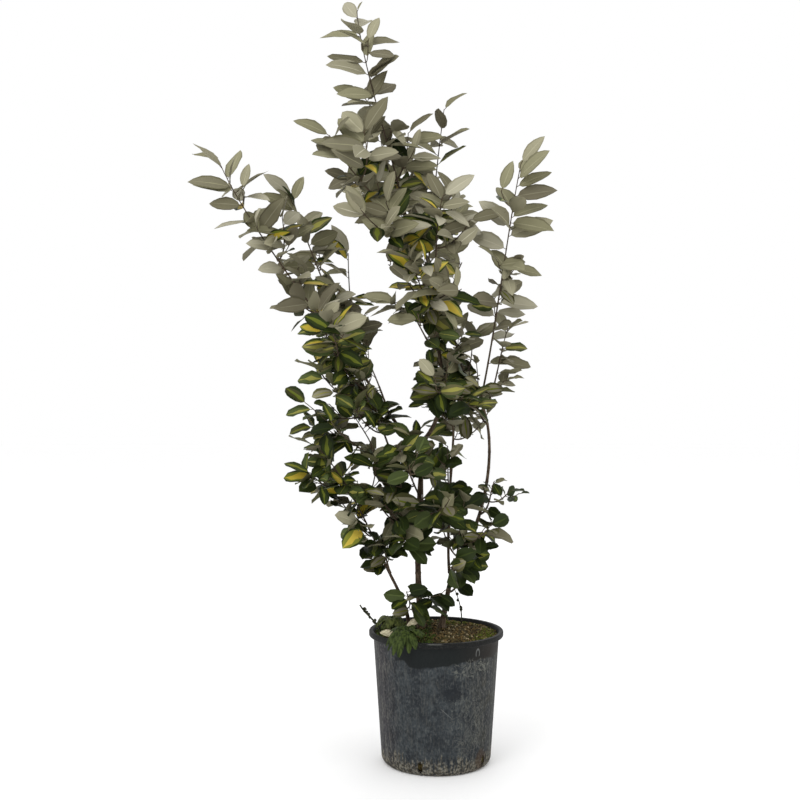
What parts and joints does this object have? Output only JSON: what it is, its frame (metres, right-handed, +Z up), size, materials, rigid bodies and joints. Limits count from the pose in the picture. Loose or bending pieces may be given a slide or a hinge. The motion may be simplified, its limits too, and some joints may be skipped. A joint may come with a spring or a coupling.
{
  "type": "potted variegated ebbinge silverberry",
  "caption": "Young variegated evergreen shrub with open leafy stems, silvery at the top and green and gold below, growing in a black nursery pot.",
  "frame": {"origin": "centre of the pot's flat underside, where it stands on the ground", "axes": "+Z up along the pot's axis, +X to the right and -Y to the front, as the picture sees the plant"},
  "size_m": [0.7256, 0.5005, 1.4883],
  "materials": {
    "pot_plastic": "matte",
    "potting_soil": "matte",
    "bark": "matte",
    "foliage": "satin",
    "weeds": "matte"
  },
  "bodies": {
    "root": {"pot": "pot_plastic", "soil": "potting_soil", "stem_centre": "bark", "stem_right": "bark", "stem_left": "bark", "bough_left": "bark", "bough_centre": "bark", "bough_leader": "bark", "bough_right": "bark", "bough_inner": "bark", "bough_mid_left": "bark", "weed_rosette": "weeds", "weed_patch": "weeds", "weed_stalk": "weeds", "leader_top": "foliage", "leader_mid": "foliage", "leader_left": "foliage", "leader_right": "foliage", "leader_front": "foliage", "leader_back": "foliage", "leader_low_left": "foliage", "left_outer": "foliage", "left_second": "foliage", "left_third": "foliage", "left_gold": "foliage", "left_back": "foliage", "left_face": "foliage", "mid_left": "foliage", "mid_left_out": "foliage", "low_left": "foliage", "low_left_hang": "foliage", "mid_front": "foliage", "foot_left": "foliage", "foot_front": "foliage", "foot_right": "foliage", "foot_back": "foliage", "right_low": "foliage", "right_hang": "foliage", "right_inner": "foliage", "right_tall": "foliage", "inner_low": "foliage", "inner_front": "foliage", "inner_back": "foliage", "centre_low_front": "foliage", "centre_front": "foliage", "centre_right": "foliage", "foot_sprout": "foliage", "foot_low": "foliage", "right_out": "foliage", "centre_hang": "foliage"}
  },
  "joints": []
}
